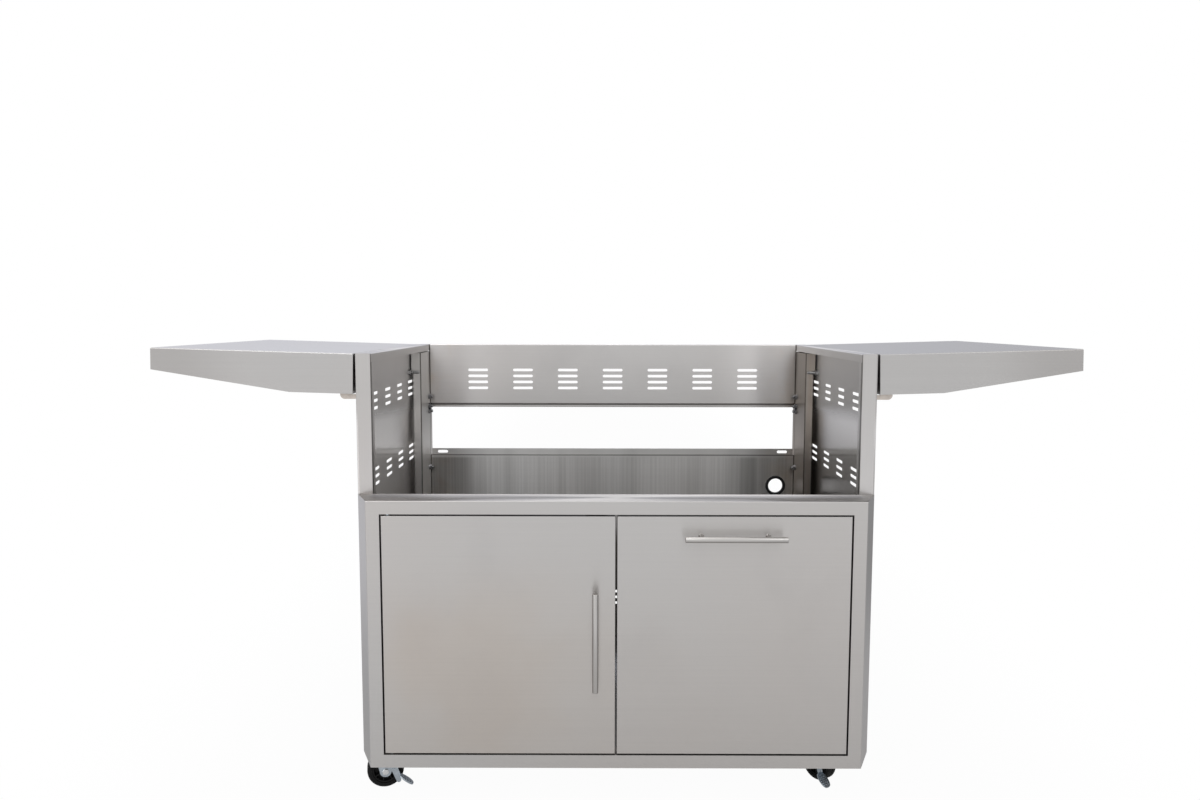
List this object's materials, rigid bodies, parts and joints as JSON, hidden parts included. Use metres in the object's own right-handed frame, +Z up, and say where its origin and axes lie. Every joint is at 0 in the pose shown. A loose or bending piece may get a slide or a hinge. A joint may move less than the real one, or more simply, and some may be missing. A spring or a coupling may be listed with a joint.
{
  "type": "griddle cart",
  "caption": "Stainless cart with an open bay for a built-in griddle, a hinged door, a pull-out tank drawer, fold-down side shelves and braked swivel casters.",
  "frame": {"origin": "on the floor under the middle of the cart's outline", "axes": "+X to the cart's right seen from the front, +Y to the back, +Z up"},
  "size_m": [1.9622, 0.791, 0.9557],
  "materials": {
    "stainless_sheet": "brushed, satin",
    "handle_steel": "fine brushed bar",
    "plated_steel": "plated, smooth",
    "zinc": "bright zinc plate",
    "grommet_rubber": "matt black",
    "tyre": "matt black",
    "wheel_core": "black moulding",
    "bush": "white moulding",
    "magnet": "black moulding"
  },
  "bodies": {
    "cart": {"front_frame": "stainless_sheet", "left_side_panel": "stainless_sheet", "right_side_panel": "stainless_sheet", "left_rear_column": "stainless_sheet", "right_rear_column": "stainless_sheet", "vent_panel": "stainless_sheet", "lower_back_panel": "stainless_sheet", "hose_grommet": "grommet_rubber", "cabinet_floor": "stainless_sheet", "bay_bolts": "zinc", "bay_nuts": "zinc", "hinge_pins": "zinc", "magnet_catch": "magnet", "slide_outer_rails": "plated_steel", "slide_brackets": "plated_steel", "left_shelf_brackets": "stainless_sheet", "right_shelf_brackets": "stainless_sheet", "caster_plates": "zinc", "caster_kingpins": "zinc", "caster_screws": "zinc"},
    "door": {"door_panel": "stainless_sheet", "door_liner": "stainless_sheet", "door_handle_bar": "handle_steel", "door_handle_posts": "handle_steel", "hinge_bushes": "bush", "door_strike": "plated_steel"},
    "drawer": {"drawer_front": "stainless_sheet", "drawer_liner": "stainless_sheet", "drawer_handle_bar": "handle_steel", "drawer_handle_posts": "handle_steel", "tank_tray": "stainless_sheet", "tank_ring": "plated_steel", "drawer_braces": "stainless_sheet", "slide_inner_rails": "plated_steel"},
    "slide_middles": {"slide_middle_rails": "plated_steel"},
    "left_shelf": {"left_shelf": "stainless_sheet", "left_shelf_pins": "plated_steel"},
    "right_shelf": {"right_shelf": "stainless_sheet", "right_shelf_pins": "plated_steel"},
    "front_left_swivel": {"front_left_fork": "zinc", "front_left_axle": "zinc"},
    "front_left_wheel": {"front_left_wheel": "wheel_core", "front_left_tyre": "tyre"},
    "front_left_pedal": {"front_left_pedal": "zinc"},
    "front_right_swivel": {"front_right_fork": "zinc", "front_right_axle": "zinc"},
    "front_right_wheel": {"front_right_wheel": "wheel_core", "front_right_tyre": "tyre"},
    "front_right_pedal": {"front_right_pedal": "zinc"},
    "rear_left_swivel": {"rear_left_fork": "zinc", "rear_left_axle": "zinc"},
    "rear_left_wheel": {"rear_left_wheel": "wheel_core", "rear_left_tyre": "tyre"},
    "rear_right_swivel": {"rear_right_fork": "zinc", "rear_right_axle": "zinc"},
    "rear_right_wheel": {"rear_right_wheel": "wheel_core", "rear_right_tyre": "tyre"}
  },
  "joints": [
    {"name": "door_hinge", "type": "hinge", "parent": "cart", "child": "door", "pos_m": [-0.4725, -0.3505, 0.36], "axis": [0, 0, -1], "range_deg": [0, 110]},
    {"name": "drawer_slide", "type": "slide", "parent": "cart", "child": "drawer", "axis": [0, -1, 0], "range_m": [0, 0.4]},
    {"name": "middle_slide", "type": "slide", "parent": "cart", "child": "slide_middles", "axis": [0, -1, 0], "range_m": [0, 0.2]},
    {"name": "left_shelf_fold", "type": "hinge", "parent": "cart", "child": "left_shelf", "pos_m": [-0.571, 0.055, 0.873], "axis": [0, -1, 0], "range_deg": [0, 91.65]},
    {"name": "right_shelf_fold", "type": "hinge", "parent": "cart", "child": "right_shelf", "pos_m": [0.571, 0.055, 0.873], "axis": [0, 1, 0], "range_deg": [0, 91.65]},
    {"name": "front_left_swivel", "type": "hinge", "parent": "cart", "child": "front_left_swivel", "pos_m": [-0.4715, -0.2795, 0.09], "axis": [0, 0, 1], "continuous": true},
    {"name": "front_left_roll", "type": "hinge", "parent": "front_left_swivel", "child": "front_left_wheel", "pos_m": [-0.50255, -0.28724, 0.039], "axis": [-0.2419, 0.9703, 0], "continuous": true},
    {"name": "front_left_brake", "type": "hinge", "parent": "front_left_swivel", "child": "front_left_pedal", "pos_m": [-0.47538, -0.28047, 0.0623], "axis": [0.2419, -0.9703, 0], "range_deg": [0, 25]},
    {"name": "front_right_swivel", "type": "hinge", "parent": "cart", "child": "front_right_swivel", "pos_m": [0.4715, -0.2795, 0.09], "axis": [0, 0, 1], "continuous": true},
    {"name": "front_right_roll", "type": "hinge", "parent": "front_right_swivel", "child": "front_right_wheel", "pos_m": [0.45407, -0.25266, 0.039], "axis": [0.8387, 0.5446, 0], "continuous": true},
    {"name": "front_right_brake", "type": "hinge", "parent": "front_right_swivel", "child": "front_right_pedal", "pos_m": [0.46932, -0.27614, 0.0623], "axis": [-0.8387, -0.5446, 0], "range_deg": [0, 25]},
    {"name": "rear_left_swivel", "type": "hinge", "parent": "cart", "child": "rear_left_swivel", "pos_m": [-0.4715, 0.3015, 0.09], "axis": [0, 0, 1], "continuous": true},
    {"name": "rear_left_roll", "type": "hinge", "parent": "rear_left_swivel", "child": "rear_left_wheel", "pos_m": [-0.5035, 0.3015, 0.039], "axis": [0, 1, 0], "continuous": true},
    {"name": "rear_right_swivel", "type": "hinge", "parent": "cart", "child": "rear_right_swivel", "pos_m": [0.4715, 0.3015, 0.09], "axis": [0, 0, 1], "continuous": true},
    {"name": "rear_right_roll", "type": "hinge", "parent": "rear_right_swivel", "child": "rear_right_wheel", "pos_m": [0.44143, 0.31244, 0.039], "axis": [0.342, 0.9397, 0], "continuous": true}
  ],
  "couplings": [
    {"joint": "middle_slide", "follows": "drawer_slide", "ratio": 0.5}
  ]
}
